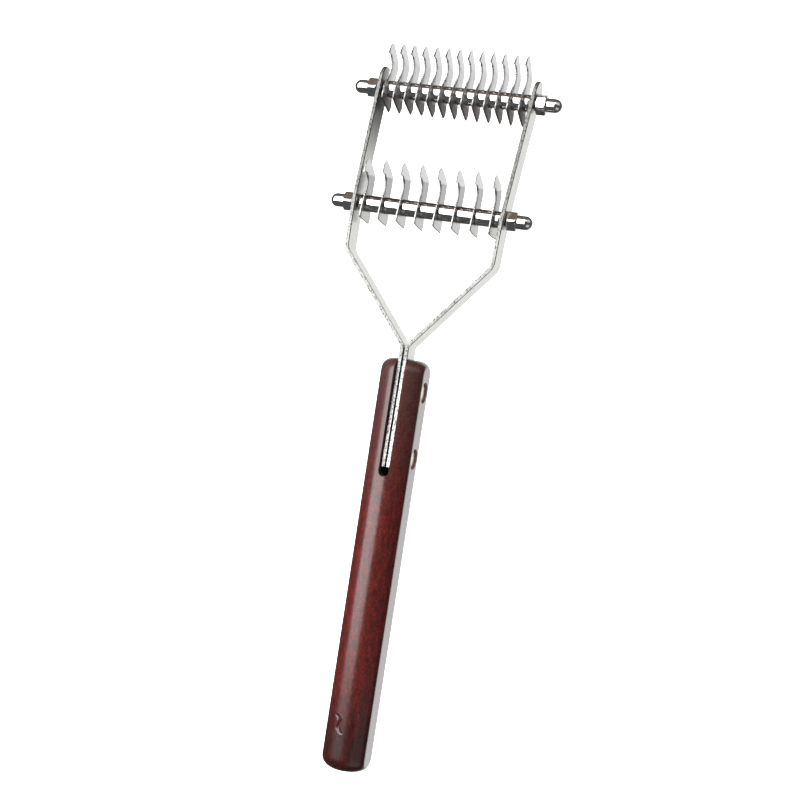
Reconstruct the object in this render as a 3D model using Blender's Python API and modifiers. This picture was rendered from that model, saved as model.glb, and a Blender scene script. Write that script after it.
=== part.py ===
"""Double-row undercoat rake, lying on its back.

Two bent steel arms stand side by side in a slot of a wooden handle, held by two rivets. They spread in a
Y and carry two rods. Each rod holds a row of thin hooked blades, kept apart by tube spacers, and a cap nut
closes each end. The fine row is the outer one. A row turns about its rod when its cap nuts are slackened.

+X runs along the rods, +Y from the handle to the head, and +Z out of the hooked side.
The design frame has its zero on the handle's axis, at the handle's head end. The empty rake_origin
carries it.
"""

import math

import bmesh
import bpy
from mathutils import Matrix, Vector

MM = 0.001

# Handle: a round dowel with two side flats and rounded ends.
HANDLE_LENGTH = 120.8 * MM
HANDLE_RADIUS = 7.5 * MM
HANDLE_WIDTH = 13.0 * MM
HANDLE_END_ROUND = 4.0 * MM
HANDLE_STEPS = 48

# Slot for the arms: open at the front and at the head end, with a milled round end.
SLOT_WIDTH = 3.1 * MM
SLOT_LENGTH = 34.2 * MM
SLOT_FLOOR_Z = -2.8 * MM

# Rivets through the handle's flats and both arms, with heads sunk in round recesses.
RIVET_Y = {"rivet_head_end": -9.0 * MM, "rivet_grip_end": -28.4 * MM}
RIVET_Z = 0.3 * MM
RIVET_RADIUS = 1.3 * MM
RIVET_HEAD_RADIUS = 2.85 * MM
RIVET_HEAD_THICKNESS = 0.9 * MM
RIVET_HEAD_CHAMFER = 0.25 * MM
RECESS_RADIUS = 3.05 * MM
RECESS_DEPTH = 1.5 * MM
RIVET_CLEARANCE = 0.1 * MM

# Arms: flat strap on edge, so that its narrow edge faces +Z.
STRAP_THICKNESS = 1.2 * MM
STRAP_WIDTH = 7.8 * MM
STRAP_START_Y = -31.6 * MM
ARM_PAIR_OFFSET = 0.75 * MM
ARM_SPREAD_Y = 3.7 * MM
ARM_TIP_ABOVE_ROD = 6.5 * MM
SHOULDERS = {"arm_left": (-22.2 * MM, 29.3 * MM), "arm_right": (21.7 * MM, 29.2 * MM)}
SPREAD_BEND = 2.2 * MM
SHOULDER_BEND = 4.5 * MM
ROD_BEND = 25.0 * MM
ARM_LEAN = math.radians(1.3)
ARM_LEAN_PIVOT = Vector((0.0, -15.0 * MM, 1.8 * MM))
ARM_MIDDLE_X = 22.0 * MM
ROD_HOLE_CUT_LENGTH = 12.0 * MM
RIVET_HOLE_CUT_LENGTH = 3.0 * MM
TIP_CUT_LENGTH = 80.0 * MM

# Rods and the places where the arms cross them: the head is racked slightly to +X at the fine row.
ROD_RADIUS = 1.5 * MM
ROD_CLEARANCE = 0.1 * MM
ARM_ROD_CLEARANCE = 0.3 * MM
COARSE_ROD_Y = 43.1 * MM
FINE_ROD_Y = 76.8 * MM
COARSE_ARM_X = {"arm_left": -22.25 * MM, "arm_right": 22.15 * MM}
FINE_ARM_X = {"arm_left": -20.15 * MM, "arm_right": 25.4 * MM}

# Cap nuts for the rods.
NUT_ACROSS_FLATS = 5.5 * MM
NUT_HEX_LENGTH = 2.9 * MM
NUT_LENGTH = 7.3 * MM
NUT_DOME_RADIUS = 2.05 * MM
NUT_BORE_DEPTH = 5.5 * MM
NUT_ARM_GAP = 0.35 * MM
NUT_TURNS = {"fine": (6.0, 25.0), "coarse": (3.0, 3.0)}

# Rows: blades at an even pitch, with spacers between them and out to the arms.
BLADE_THICKNESS = 0.6 * MM
SPACER_RADIUS = 2.5 * MM
STACK_GAP = 0.06 * MM
ARM_STACK_GAP = 0.3 * MM
ROUND_STEPS = 20
FINE_PITCH = 3.37 * MM
FINE_CENTRE_X = 2.2 * MM
FINE_TILT = math.radians(-12.0)
FINE_SETTLE = (1.0, 0.0, 1.5, 2.0, -0.5, -2.0, -1.5, 0.0, -1.0, 1.0, 2.0, -2.5, 0.5)
COARSE_PITCH = 5.52 * MM
COARSE_CENTRE_X = -0.2 * MM
COARSE_TILT = 0.0
COARSE_SETTLE = (0.5, 0.0, 0.0, -0.5, 0.5, 1.0, 0.5, 5.0)

# Blade outline in millimetres from the rod's axis: along the blade, towards the hooked side, and whether
# it is a corner.
BLADE_OUTLINE = (
    (12.75, 4.0, True),
    (11.3, 5.9, False),
    (9.8, 6.5, False),
    (8.35, 6.9, True),
    (8.5, 4.4, False),
    (6.7, 2.4, False),
    (4.4, 2.4, False),
    (1.5, 3.6, False),
    (-2.5, 4.85, False),
    (-4.4, 4.7, True),
    (-5.0, 1.5, False),
    (-5.6, -3.9, True),
    (-3.6, -4.6, False),
    (-1.2, -3.7, False),
    (3.0, -3.5, False),
    (7.2, -3.8, False),
    (9.4, -2.9, False),
    (11.2, 0.3, False),
)
BLADE_CURVE_STEPS = 2

# The design frame's zero is placed so that the world's zero is under the middle of the whole rake.
BLADE_REACH = 13.3 * MM
NUT_TIP_PAST_ARM = STRAP_THICKNESS / 2 + NUT_ARM_GAP + NUT_LENGTH
LEFT_END = COARSE_ARM_X["arm_left"] - NUT_TIP_PAST_ARM
RIGHT_END = FINE_ARM_X["arm_right"] + NUT_TIP_PAST_ARM
HEAD_END = FINE_ROD_Y + BLADE_REACH
ORIGIN = Vector((-(LEFT_END + RIGHT_END) / 2, (HANDLE_LENGTH - HEAD_END) / 2, HANDLE_RADIUS))

# Turns a shape's own Z axis to X, and its own X and Y to Y and Z.
ALONG_X = Matrix(((0, 0, 1, 0), (1, 0, 0, 0), (0, 1, 0, 0), (0, 0, 0, 1)))
ALONG_Y = Matrix.Rotation(math.radians(-90.0), 4, "X")
CUT_MARGIN = 1.0 * MM


def clear_scene():
    for obj in list(bpy.data.objects):
        bpy.data.objects.remove(obj, do_unlink=True)


def new_collection(name, hidden=False):
    made = bpy.data.collections.new(name)
    made.hide_render = hidden
    bpy.context.scene.collection.children.link(made)
    return made


def new_material(name, colour, roughness, metallic):
    made = bpy.data.materials.new(name)
    made.use_nodes = True
    shader = made.node_tree.nodes["Principled BSDF"]
    shader.inputs["Base Color"].default_value = (*colour, 1.0)
    shader.inputs["Roughness"].default_value = roughness
    shader.inputs["Metallic"].default_value = metallic
    return made


def new_empty(name, location, parent=None):
    made = bpy.data.objects.new(name, None)
    made.location = location
    made.parent = parent
    rake.objects.link(made)
    return made


def smooth(mesh, angle=math.radians(35.0)):
    mesh.shade_smooth()
    mesh.set_sharp_from_angle(angle=angle)


def add_piece(name, data, material, parent, matrix):
    """A visible piece of the rake, placed under its parent."""
    piece = bpy.data.objects.new(name, data)
    if not data.materials:
        data.materials.append(material)
    piece.parent = parent
    piece.matrix_local = matrix
    rake.objects.link(piece)
    return piece


def add_cutter(name, data, parent, matrix):
    cutter = bpy.data.objects.new(name, data)
    cutter.parent = parent
    cutter.matrix_local = matrix
    cutter.hide_render = True
    cutter.display_type = "WIRE"
    cutters.objects.link(cutter)
    return cutter


def combine(piece, other, operation):
    modifier = piece.modifiers.new(other.name, "BOOLEAN")
    modifier.operation = operation
    modifier.solver = "EXACT"
    modifier.object = other


def cylinder_mesh(name, radius, length, steps=ROUND_STEPS):
    """A cylinder round its own Z axis, centred on its origin."""
    mesh = bpy.data.meshes.new(name)
    shape = bmesh.new()
    bmesh.ops.create_cone(
        shape, cap_ends=True, segments=steps, radius1=radius, radius2=radius, depth=length
    )
    shape.to_mesh(mesh)
    shape.free()
    return mesh


def box_mesh(name, size):
    mesh = bpy.data.meshes.new(name)
    shape = bmesh.new()
    bmesh.ops.create_cube(shape, size=1.0)
    bmesh.ops.scale(shape, vec=size, verts=shape.verts)
    shape.to_mesh(mesh)
    shape.free()
    return mesh


def turned_mesh(name, profile, steps, closed=False):
    """A profile of (radius, height) points turned round Z. It runs down the outer side, top to bottom."""
    line = bpy.data.meshes.new(name + "_profile")
    count = len(profile)
    edges = [(i, i + 1) for i in range(count - 1)]
    if closed:
        edges.append((count - 1, 0))
    line.from_pydata([(radius, 0.0, height) for radius, height in profile], edges, [])
    carrier = bpy.data.objects.new(name + "_profile", line)
    cutters.objects.link(carrier)
    screw = carrier.modifiers.new("turn", "SCREW")
    screw.steps = steps
    screw.render_steps = steps
    screw.use_merge_vertices = True
    screw.merge_threshold = 0.00001
    screw.use_normal_calculate = True
    return baked_mesh(name, carrier)


def extruded_mesh(name, outlines, thickness):
    """Closed outlines of (x, y) points, filled and extruded by half the thickness each way along Z."""
    curve = bpy.data.curves.new(name + "_outline", "CURVE")
    curve.dimensions = "2D"
    curve.fill_mode = "BOTH"
    curve.extrude = thickness / 2
    for outline in outlines:
        spline = curve.splines.new("POLY")
        spline.points.add(len(outline) - 1)
        for point, (x, y) in zip(spline.points, outline):
            point.co = (x, y, 0.0, 1.0)
        spline.use_cyclic_u = True
    carrier = bpy.data.objects.new(name + "_outline", curve)
    cutters.objects.link(carrier)
    return baked_mesh(name, carrier)


def baked_mesh(name, carrier):
    """The evaluated mesh of a profile or outline, welded, with its faces out. The carrier is removed."""
    bpy.context.view_layer.update()
    graph = bpy.context.evaluated_depsgraph_get()
    mesh = bpy.data.meshes.new_from_object(carrier.evaluated_get(graph))
    mesh.name = name
    shape = bmesh.new()
    shape.from_mesh(mesh)
    bmesh.ops.remove_doubles(shape, verts=shape.verts, dist=0.000001)
    bmesh.ops.recalc_face_normals(shape, faces=shape.faces)
    shape.to_mesh(mesh)
    shape.free()
    bpy.data.objects.remove(carrier, do_unlink=True)
    smooth(mesh)
    return mesh


def circle(radius, steps, centre=(0.0, 0.0)):
    turns = [2 * math.pi * i / steps for i in range(steps)]
    return [(centre[0] + radius * math.cos(a), centre[1] + radius * math.sin(a)) for a in turns]


def quarter_round(radius, steps):
    """Points of a quarter circle, as (inset, drop) from its top towards its outer side."""
    angles = [math.pi / 2 * i / steps for i in range(steps + 1)]
    return [(radius * (1 - math.sin(a)), radius * (1 - math.cos(a))) for a in angles]


def rounded_path(corners, radii, steps=7):
    """(point, normal) pairs along straight runs joined by arcs. radii has one value for each inner corner."""
    first_direction = (corners[1] - corners[0]).normalized()
    path = [(corners[0], first_direction.orthogonal())]
    for before, corner, after, radius in zip(corners, corners[1:], corners[2:], radii):
        arriving = (corner - before).normalized()
        leaving = (after - corner).normalized()
        turn = arriving.angle_signed(leaving)
        reach = radius * math.tan(abs(turn) / 2)
        side = 1.0 if turn < 0 else -1.0
        centre = corner - arriving * reach + arriving.orthogonal() * radius * side
        for i in range(steps + 1):
            spin = Matrix.Rotation(-turn * i / steps, 2)
            direction = spin @ arriving
            normal = direction.orthogonal()
            path.append((centre - normal * radius * side, normal))
    last_direction = (corners[-1] - corners[-2]).normalized()
    path.append((corners[-1], last_direction.orthogonal()))
    return path


def ribbon_outline(path, thickness):
    left = [point + normal * thickness / 2 for point, normal in path]
    right = [point - normal * thickness / 2 for point, normal in path]
    return [tuple(point) for point in left + right[::-1]]


def blade_points(tilt):
    """The blade's outline with its smooth stretches filled in, turned about the rod by tilt."""
    count = len(BLADE_OUTLINE)
    points = []
    for i, (along, out, corner) in enumerate(BLADE_OUTLINE):
        here = Vector((along, out))
        after = BLADE_OUTLINE[(i + 1) % count]
        there = Vector(after[:2])
        leave = Vector((0.0, 0.0)) if corner else (there - Vector(BLADE_OUTLINE[i - 1][:2])) / 2
        beyond = Vector(BLADE_OUTLINE[(i + 2) % count][:2])
        arrive = Vector((0.0, 0.0)) if after[2] else (beyond - here) / 2
        for step in range(BLADE_CURVE_STEPS):
            t = step / BLADE_CURVE_STEPS
            points.append(hermite(here, there, leave, arrive, t))
    turn = Matrix.Rotation(tilt, 2)
    return [tuple(turn @ point * MM) for point in points]


def hermite(start, end, start_slope, end_slope, t):
    t2 = t * t
    t3 = t2 * t
    return (
        start * (2 * t3 - 3 * t2 + 1)
        + start_slope * (t3 - 2 * t2 + t)
        + end * (3 * t2 - 2 * t3)
        + end_slope * (t3 - t2)
    )


def build_handle():
    end = quarter_round(HANDLE_END_ROUND, 6)
    head_end = [(HANDLE_RADIUS - inset, -drop) for inset, drop in end]
    grip_end = [(HANDLE_RADIUS - inset, drop - HANDLE_LENGTH) for inset, drop in reversed(end)]
    profile = [(0.0, 0.0), *head_end, *grip_end, (0.0, -HANDLE_LENGTH)]
    mesh = turned_mesh("handle", profile, HANDLE_STEPS)
    handle = add_piece("handle", mesh, wood, rake_origin, ALONG_Y)

    flat_depth = HANDLE_RADIUS
    for side, name in ((-1, "flat_left"), (1, "flat_right")):
        size = (flat_depth, HANDLE_LENGTH + 4 * CUT_MARGIN, 3 * HANDLE_RADIUS)
        place = Vector((side * (HANDLE_WIDTH + flat_depth) / 2, -HANDLE_LENGTH / 2, 0.0))
        block = add_cutter(name, box_mesh(name, size), rake_origin, Matrix.Translation(place))
        combine(handle, block, "DIFFERENCE")

    combine(handle, slot_cutter(), "DIFFERENCE")
    for name, y in RIVET_Y.items():
        combine(handle, rivet_hole_cutter(name + "_hole", y), "DIFFERENCE")
    return handle


def slot_cutter():
    half = SLOT_WIDTH / 2
    round_centre_y = half - SLOT_LENGTH
    turns = [math.pi * i / 10 for i in range(11)]
    outline = [(-half * math.cos(a), round_centre_y - half * math.sin(a)) for a in turns]
    outline += [(half, 2 * CUT_MARGIN), (-half, 2 * CUT_MARGIN)]
    front = HANDLE_RADIUS + CUT_MARGIN
    mesh = extruded_mesh("arm_slot", [outline], front - SLOT_FLOOR_Z)
    middle = Vector((0.0, 0.0, (front + SLOT_FLOOR_Z) / 2))
    return add_cutter("arm_slot", mesh, rake_origin, Matrix.Translation(middle))


def rivet_hole_cutter(name, y):
    """A through hole with a round recess in each flat, as one turned cutter along X."""
    hole = RIVET_RADIUS + RIVET_CLEARANCE
    outer = HANDLE_WIDTH / 2 + CUT_MARGIN
    recess = HANDLE_WIDTH / 2 - RECESS_DEPTH
    profile = [
        (0.0, outer),
        (RECESS_RADIUS, outer),
        (RECESS_RADIUS, recess),
        (hole, recess),
        (hole, -recess),
        (RECESS_RADIUS, -recess),
        (RECESS_RADIUS, -outer),
        (0.0, -outer),
    ]
    mesh = turned_mesh(name, profile, ROUND_STEPS)
    place = Matrix.Translation((0.0, y, RIVET_Z)) @ ALONG_X
    return add_cutter(name, mesh, rake_origin, place)


def build_rivet(name, y):
    seat = HANDLE_WIDTH / 2 - RECESS_DEPTH + RIVET_CLEARANCE
    face = seat + RIVET_HEAD_THICKNESS
    head = [
        (0.0, face),
        (RIVET_HEAD_RADIUS - RIVET_HEAD_CHAMFER, face),
        (RIVET_HEAD_RADIUS, face - RIVET_HEAD_CHAMFER),
        (RIVET_HEAD_RADIUS, seat),
        (RIVET_RADIUS, seat),
    ]
    profile = head + [(radius, -height) for radius, height in reversed(head)]
    mesh = turned_mesh(name, profile, ROUND_STEPS)
    place = Matrix.Translation((0.0, y, RIVET_Z)) @ ALONG_X
    return add_piece(name, mesh, rivet_metal, rake_origin, place)


def build_arm(name, side):
    """One strap: bent in plan, then cut to its width with round tips, and drilled for the rods and rivets."""
    shoulder = Vector(SHOULDERS[name])
    coarse = Vector((COARSE_ARM_X[name], COARSE_ROD_Y))
    fine = Vector((FINE_ARM_X[name], FINE_ROD_Y))
    tip = fine + (fine - coarse).normalized() * ARM_TIP_ABOVE_ROD
    start = Vector((side * ARM_PAIR_OFFSET, STRAP_START_Y))
    spread = Vector((side * ARM_PAIR_OFFSET, ARM_SPREAD_Y))
    corners = [start, spread, shoulder, coarse, tip]
    path = rounded_path(corners, (SPREAD_BEND, SHOULDER_BEND, ROD_BEND))
    mesh = extruded_mesh(name, [ribbon_outline(path, STRAP_THICKNESS)], STRAP_WIDTH)
    lean = Matrix.Rotation(-ARM_LEAN, 4, "X")
    above_pivot = Matrix.Translation(Vector((0.0, -ARM_LEAN_PIVOT.y, 0.0)))
    place = Matrix.Translation(ARM_LEAN_PIVOT) @ lean @ above_pivot
    arm = add_piece(name, mesh, strap_steel, rake_origin, place)

    combine(arm, tip_cutter(name + "_round_tip", tip, place), "INTERSECT")
    for label, y in (("coarse", COARSE_ROD_Y), ("fine", FINE_ROD_Y)):
        radius = ROD_RADIUS + ARM_ROD_CLEARANCE
        centre = (side * ARM_MIDDLE_X, y, 0.0)
        cutter = hole_cutter(f"{name}_{label}_rod_hole", radius, centre, ROD_HOLE_CUT_LENGTH)
        combine(arm, cutter, "DIFFERENCE")
    for label, y in RIVET_Y.items():
        radius = RIVET_RADIUS + ARM_ROD_CLEARANCE
        centre = (side * ARM_PAIR_OFFSET, y, RIVET_Z)
        cutter = hole_cutter(f"{name}_{label}_hole", radius, centre, RIVET_HOLE_CUT_LENGTH)
        combine(arm, cutter, "DIFFERENCE")
    return arm


def tip_cutter(name, tip, place):
    """The strap's outline seen from the side: square at the handle end, and a half circle at the tip."""
    half = STRAP_WIDTH / 2
    round_centre = tip.y - half
    turns = [math.pi * i / 14 for i in range(15)]
    outline = [(round_centre + half * math.sin(a), half * math.cos(a)) for a in turns]
    outline += [(STRAP_START_Y - CUT_MARGIN, -half), (STRAP_START_Y - CUT_MARGIN, half)]
    mesh = extruded_mesh(name, [outline], TIP_CUT_LENGTH)
    return add_cutter(name, mesh, rake_origin, place @ ALONG_X)


def hole_cutter(name, radius, centre, length):
    mesh = cylinder_mesh(name, radius, length)
    return add_cutter(name, mesh, rake_origin, Matrix.Translation(centre) @ ALONG_X)


def build_rod(name, axis, left_end, right_end):
    mesh = cylinder_mesh(name, ROD_RADIUS, right_end - left_end)
    smooth(mesh)
    middle = Matrix.Translation(((left_end + right_end) / 2, 0.0, 0.0))
    return add_piece(name, mesh, rod_steel, axis, middle @ ALONG_X)


def build_cap_nut(name, axis, face_x, side, turn):
    """A hexagon with a domed cap. Its open face is at face_x, and it points along side."""
    hexagon = bpy.data.meshes.new(name)
    shape = bmesh.new()
    corner_radius = NUT_ACROSS_FLATS / math.sqrt(3)
    bmesh.ops.create_cone(
        shape,
        cap_ends=True,
        segments=6,
        radius1=corner_radius,
        radius2=corner_radius,
        depth=NUT_HEX_LENGTH,
    )
    bmesh.ops.translate(shape, vec=(0.0, 0.0, NUT_HEX_LENGTH / 2), verts=shape.verts)
    shape.to_mesh(hexagon)
    shape.free()

    outward = Matrix.Identity(4) if side > 0 else Matrix.Rotation(math.pi, 4, "Y")
    spin = Matrix.Rotation(math.radians(turn), 4, "X")
    place = Matrix.Translation((face_x, 0.0, 0.0)) @ spin @ outward @ ALONG_X
    nut = add_piece(name, hexagon, chrome, axis, place)

    dome_centre = NUT_LENGTH - NUT_DOME_RADIUS
    turns = [math.pi / 2 * i / 6 for i in range(7)]
    dome = [
        (NUT_DOME_RADIUS * math.sin(a), dome_centre + NUT_DOME_RADIUS * math.cos(a)) for a in turns
    ]
    dome += [(NUT_DOME_RADIUS, NUT_HEX_LENGTH / 2), (0.0, NUT_HEX_LENGTH / 2)]
    cap = add_cutter(name + "_cap", turned_mesh(name + "_cap", dome, ROUND_STEPS), axis, place)
    combine(nut, cap, "UNION")

    bore_mesh = cylinder_mesh(name + "_bore", ROD_RADIUS + ROD_CLEARANCE, 2 * NUT_BORE_DEPTH)
    combine(nut, add_cutter(name + "_bore", bore_mesh, axis, place), "DIFFERENCE")
    return nut


def build_spacer(name, axis, left, right):
    bore = ROD_RADIUS + ROD_CLEARANCE
    half = (right - left) / 2
    profile = [(SPACER_RADIUS, half), (SPACER_RADIUS, -half), (bore, -half), (bore, half)]
    mesh = turned_mesh(name, profile, ROUND_STEPS, closed=True)
    middle = Matrix.Translation(((left + right) / 2, 0.0, 0.0))
    return add_piece(name, mesh, chrome, axis, middle @ ALONG_X)


def build_row(row, rod_y, arm_x, pitch, centre_x, tilt, settle):
    """A rod with its blades, spacers and cap nuts, all hung on an empty on the rod's axis."""
    axis = new_empty(row + "_row_axis", (0.0, rod_y, 0.0), rake_origin)
    left_arm = arm_x["arm_left"]
    right_arm = arm_x["arm_right"]
    half_strap = STRAP_THICKNESS / 2

    left_face = left_arm - half_strap - NUT_ARM_GAP
    right_face = right_arm + half_strap + NUT_ARM_GAP
    rod_reach = NUT_BORE_DEPTH - 3 * ROD_CLEARANCE
    build_rod(row + "_rod", axis, left_face - rod_reach, right_face + rod_reach)
    left_turn, right_turn = NUT_TURNS[row]
    build_cap_nut(row + "_nut_left", axis, left_face, -1, left_turn)
    build_cap_nut(row + "_nut_right", axis, right_face, 1, right_turn)

    hole = circle(ROD_RADIUS + ROD_CLEARANCE, 16)
    blade_mesh = extruded_mesh(row + "_blade", [blade_points(tilt), hole], BLADE_THICKNESS)
    count = len(settle)
    centres = [centre_x + (i - (count - 1) / 2) * pitch for i in range(count)]
    for number, (x, angle) in enumerate(zip(centres, settle), start=1):
        spin = Matrix.Rotation(math.radians(angle), 4, "X")
        place = Matrix.Translation((x, 0.0, 0.0)) @ spin @ ALONG_X
        add_piece(f"{row}_blade_{number:02d}", blade_mesh, blade_steel, axis, place)

    half_blade = BLADE_THICKNESS / 2 + STACK_GAP
    lefts = [left_arm + half_strap + ARM_STACK_GAP] + [x + half_blade for x in centres]
    rights = [x - half_blade for x in centres] + [right_arm - half_strap - ARM_STACK_GAP]
    for number, (left, right) in enumerate(zip(lefts, rights), start=1):
        build_spacer(f"{row}_spacer_{number:02d}", axis, left, right)


clear_scene()
rake = new_collection("undercoat_rake")
cutters = new_collection("cutters", hidden=True)

wood = new_material("lacquered_wood", (0.11, 0.018, 0.012), 0.3, 0.0)
strap_steel = new_material("strap_steel", (0.62, 0.61, 0.58), 0.3, 1.0)
blade_steel = new_material("blade_steel", (0.56, 0.56, 0.55), 0.35, 1.0)
rod_steel = new_material("rod_steel", (0.6, 0.6, 0.6), 0.2, 1.0)
chrome = new_material("chrome_plate", (0.8, 0.8, 0.79), 0.08, 1.0)
rivet_metal = new_material("rivet_metal", (0.76, 0.72, 0.6), 0.3, 1.0)

rake_origin = new_empty("rake_origin", ORIGIN)
build_handle()
for rivet_name, rivet_y in RIVET_Y.items():
    build_rivet(rivet_name, rivet_y)
build_arm("arm_left", -1)
build_arm("arm_right", 1)
build_row("fine", FINE_ROD_Y, FINE_ARM_X, FINE_PITCH, FINE_CENTRE_X, FINE_TILT, FINE_SETTLE)
build_row("coarse", COARSE_ROD_Y, COARSE_ARM_X, COARSE_PITCH, COARSE_CENTRE_X, COARSE_TILT, COARSE_SETTLE)
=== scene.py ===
import math

import bmesh
import bpy
from mathutils import Matrix, Vector


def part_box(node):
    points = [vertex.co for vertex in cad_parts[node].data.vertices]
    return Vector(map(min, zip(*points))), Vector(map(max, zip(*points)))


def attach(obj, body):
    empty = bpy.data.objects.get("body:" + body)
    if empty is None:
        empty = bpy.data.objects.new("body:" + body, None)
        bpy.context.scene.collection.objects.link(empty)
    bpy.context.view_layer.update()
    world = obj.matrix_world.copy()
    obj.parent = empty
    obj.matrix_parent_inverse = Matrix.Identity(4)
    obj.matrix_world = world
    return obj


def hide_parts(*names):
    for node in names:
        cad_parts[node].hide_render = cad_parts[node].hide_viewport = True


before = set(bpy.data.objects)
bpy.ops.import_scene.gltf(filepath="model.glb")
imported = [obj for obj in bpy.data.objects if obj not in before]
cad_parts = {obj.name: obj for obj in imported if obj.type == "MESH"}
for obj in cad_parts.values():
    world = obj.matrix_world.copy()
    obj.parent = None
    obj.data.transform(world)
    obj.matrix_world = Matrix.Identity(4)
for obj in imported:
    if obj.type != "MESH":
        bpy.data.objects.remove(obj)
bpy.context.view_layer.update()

MM = 0.001

# --------------------------------------------------------------------------------------------------
# Sizes that the frame doesn't give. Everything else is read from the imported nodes.

# Handle: a dowel with softened flats. The slot and the rivet recesses are cut into it.
HANDLE_RADIUS = 7.5 * MM
HANDLE_FLAT = 6.5 * MM
HANDLE_END_ROUND = 4.0 * MM
HANDLE_STEPS = 168
HANDLE_END_RINGS = 14
HANDLE_RING_GAP = 0.9 * MM
HANDLE_LAST_GAP = 0.8 * MM
GOUGE_RING_GAP = 0.14 * MM
ARRIS_SHARPNESS = 70.0
SLOT_WIDTH = 3.1 * MM
SLOT_LENGTH = 34.2 * MM
SLOT_FLOOR_Z = -2.8 * MM
SLOT_END_STEPS = 24
CUT_MARGIN = 1.0 * MM

# Rivets, sunk in round recesses.
RIVETS = ("rivet_head_end", "rivet_grip_end")
RIVET_RADIUS = 1.3 * MM
RIVET_HOLE_RADIUS = 1.4 * MM
RIVET_HOLE_STEPS = 48
RIVET_CROWN = 0.12 * MM
RIVET_CROWN_STEPS = 6
RIVET_EDGE = 0.3 * MM
RECESS_RADIUS = 3.05 * MM
RECESS_DEPTH = 1.5 * MM
RECESS_CLEARANCE = 0.1 * MM

# Where the handle's finish changes: how far its left and right flats are from its axis, and how far from
# the grip's end the wood stops being darkened by painted shade, and then turns greyer brown towards the head.
FLAT_FINISH = (6.40 * MM, 6.47 * MM)
GRIP_END_PAINTED_SHADE = (26.0 * MM, 10.0 * MM)
HEAD_GREYING = (75.0 * MM, 118.0 * MM)

# A gouge on the front of the handle, near its end: two ends of its line, as across and along the handle.
GOUGE_START = Vector((-2.5 * MM, -104.4 * MM))
GOUGE_END = Vector((-1.0 * MM, -109.0 * MM))
GOUGE_BEND = 0.45 * MM
GOUGE_HALF_WIDTH = 0.5 * MM
GOUGE_DEPTH = 0.42 * MM
GOUGE_RIM = 0.07 * MM
GOUGE_MARGIN = 1.6 * MM
# Along it, in parts of its line's length: how far past the ends it reaches, and where it stops fading.
GOUGE_REACH = 0.4
GOUGE_FADE = 0.12
# Across it, in half widths from its line: how steep the groove is, and where and how wide the rim is.
GOUGE_STEEPNESS = 1.4
GOUGE_RIM_PLACE = 1.5
GOUGE_RIM_WIDTH = 0.55

# Arms: the strip's softened edges, the angles in degrees under which faces are joined first and from
# which an edge is softened, and how far a face leans to count as one of the sheared edges.
STRAP_EDGE = 0.2 * MM
STRAP_EDGE_SEGMENTS = 3
STRAP_WELD = 0.03 * MM
STRAP_JOIN_UNDER = 0.6
STRAP_SOFTEN_FROM = 40.0
EDGE_FACE_LEAN = 0.25

# Round hardware.
ROUND_STEPS = 64
EDGE_STEPS = 4
ROD_RADIUS = 1.5 * MM
ROD_EDGE = 0.3 * MM
BORE_RADIUS = 1.6 * MM
SPACER_RADIUS = 2.5 * MM
SPACER_EDGE = 0.16 * MM
BORE_CHAMFER = 0.1 * MM
NUT_ACROSS_FLATS = 5.5 * MM
NUT_HEX_LENGTH = 2.9 * MM
NUT_DOME_RADIUS = 2.05 * MM
NUT_CORNER_SHARPNESS = 22.0
NUT_CHAMFER_SHARPNESS = 60.0
NUT_CHAMFER_START = 0.97
NUT_CHAMFER_ANGLE = 60.0
NUT_FACE_REACH = 0.92
NUT_NECK_FILLET = 0.15 * MM
NUT_BORE_DEPTH = 5.5 * MM
NUT_BORE_CHAMFER = 0.2 * MM
NUT_STEPS = 96
NUT_HEX_STEPS = 18
NUT_DOME_STEPS = 16
NUT_WELD = 0.0001 * MM

# Blade, in millimetres. The outline is measured from the rod's axis, along the blade and towards the
# hooked side, and its third value says that the point is a corner.
BLADE_THICKNESS = 0.6
BLADE_OUTLINE = (
    (12.75, 4.0, True),
    (11.3, 5.9, False),
    (9.8, 6.5, False),
    (8.35, 6.9, True),
    (8.5, 4.4, False),
    (6.7, 2.4, False),
    (4.4, 2.4, False),
    (1.5, 3.6, False),
    (-2.5, 4.85, False),
    (-4.4, 4.7, True),
    (-5.0, 1.5, False),
    (-5.6, -3.9, True),
    (-3.6, -4.6, False),
    (-1.2, -3.7, False),
    (3.0, -3.5, False),
    (7.2, -3.8, False),
    (9.4, -2.9, False),
    (11.2, 0.3, False),
)
BLADE_CURVE_STEPS = 8
# The spans of the outline that are serrated, and which of every four points along them lie in a notch.
SERRATED_SPANS = (4, 5, 6)
NOTCHED_POINTS = (False, True, True, False)
SERRATION_DEPTH = 0.13
BLADE_EDGE = 0.2
BLADE_EDGE_STEPS = 4
BLADE_HOLE_STEPS = 40
MITRE_LIMIT = 0.625
PAINTED_DARK_BURR_LEAN = (0.25, 0.97)
NOSE_GRIND_START = 8.2
NOSE_GRIND_SLANT = 0.06
NOSE_GRIND_TAPER = 0.055

# Shading: edges that turn by more degrees than this stay hard.
HARD_EDGE = 30.0
HANDLE_HARD_EDGE = 38.0
STRAP_HARD_EDGE = 35.0
BLADE_HARD_EDGE = 50.0

# Camera: where it stands and the way it faces, from the photograph's viewpoint.
CAMERA_PLACE = Vector((118.97, 17.63, 425.02)) * MM
CAMERA_RIGHT = Vector((0.94799, 0.15152, -0.27991))
CAMERA_UP = Vector((-0.15469, 0.98790, 0.01088))
CAMERA_LENS = 67.5
SENSOR_WIDTH = 36.0
CAMERA_CLIP = (0.01, 20.0)

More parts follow.
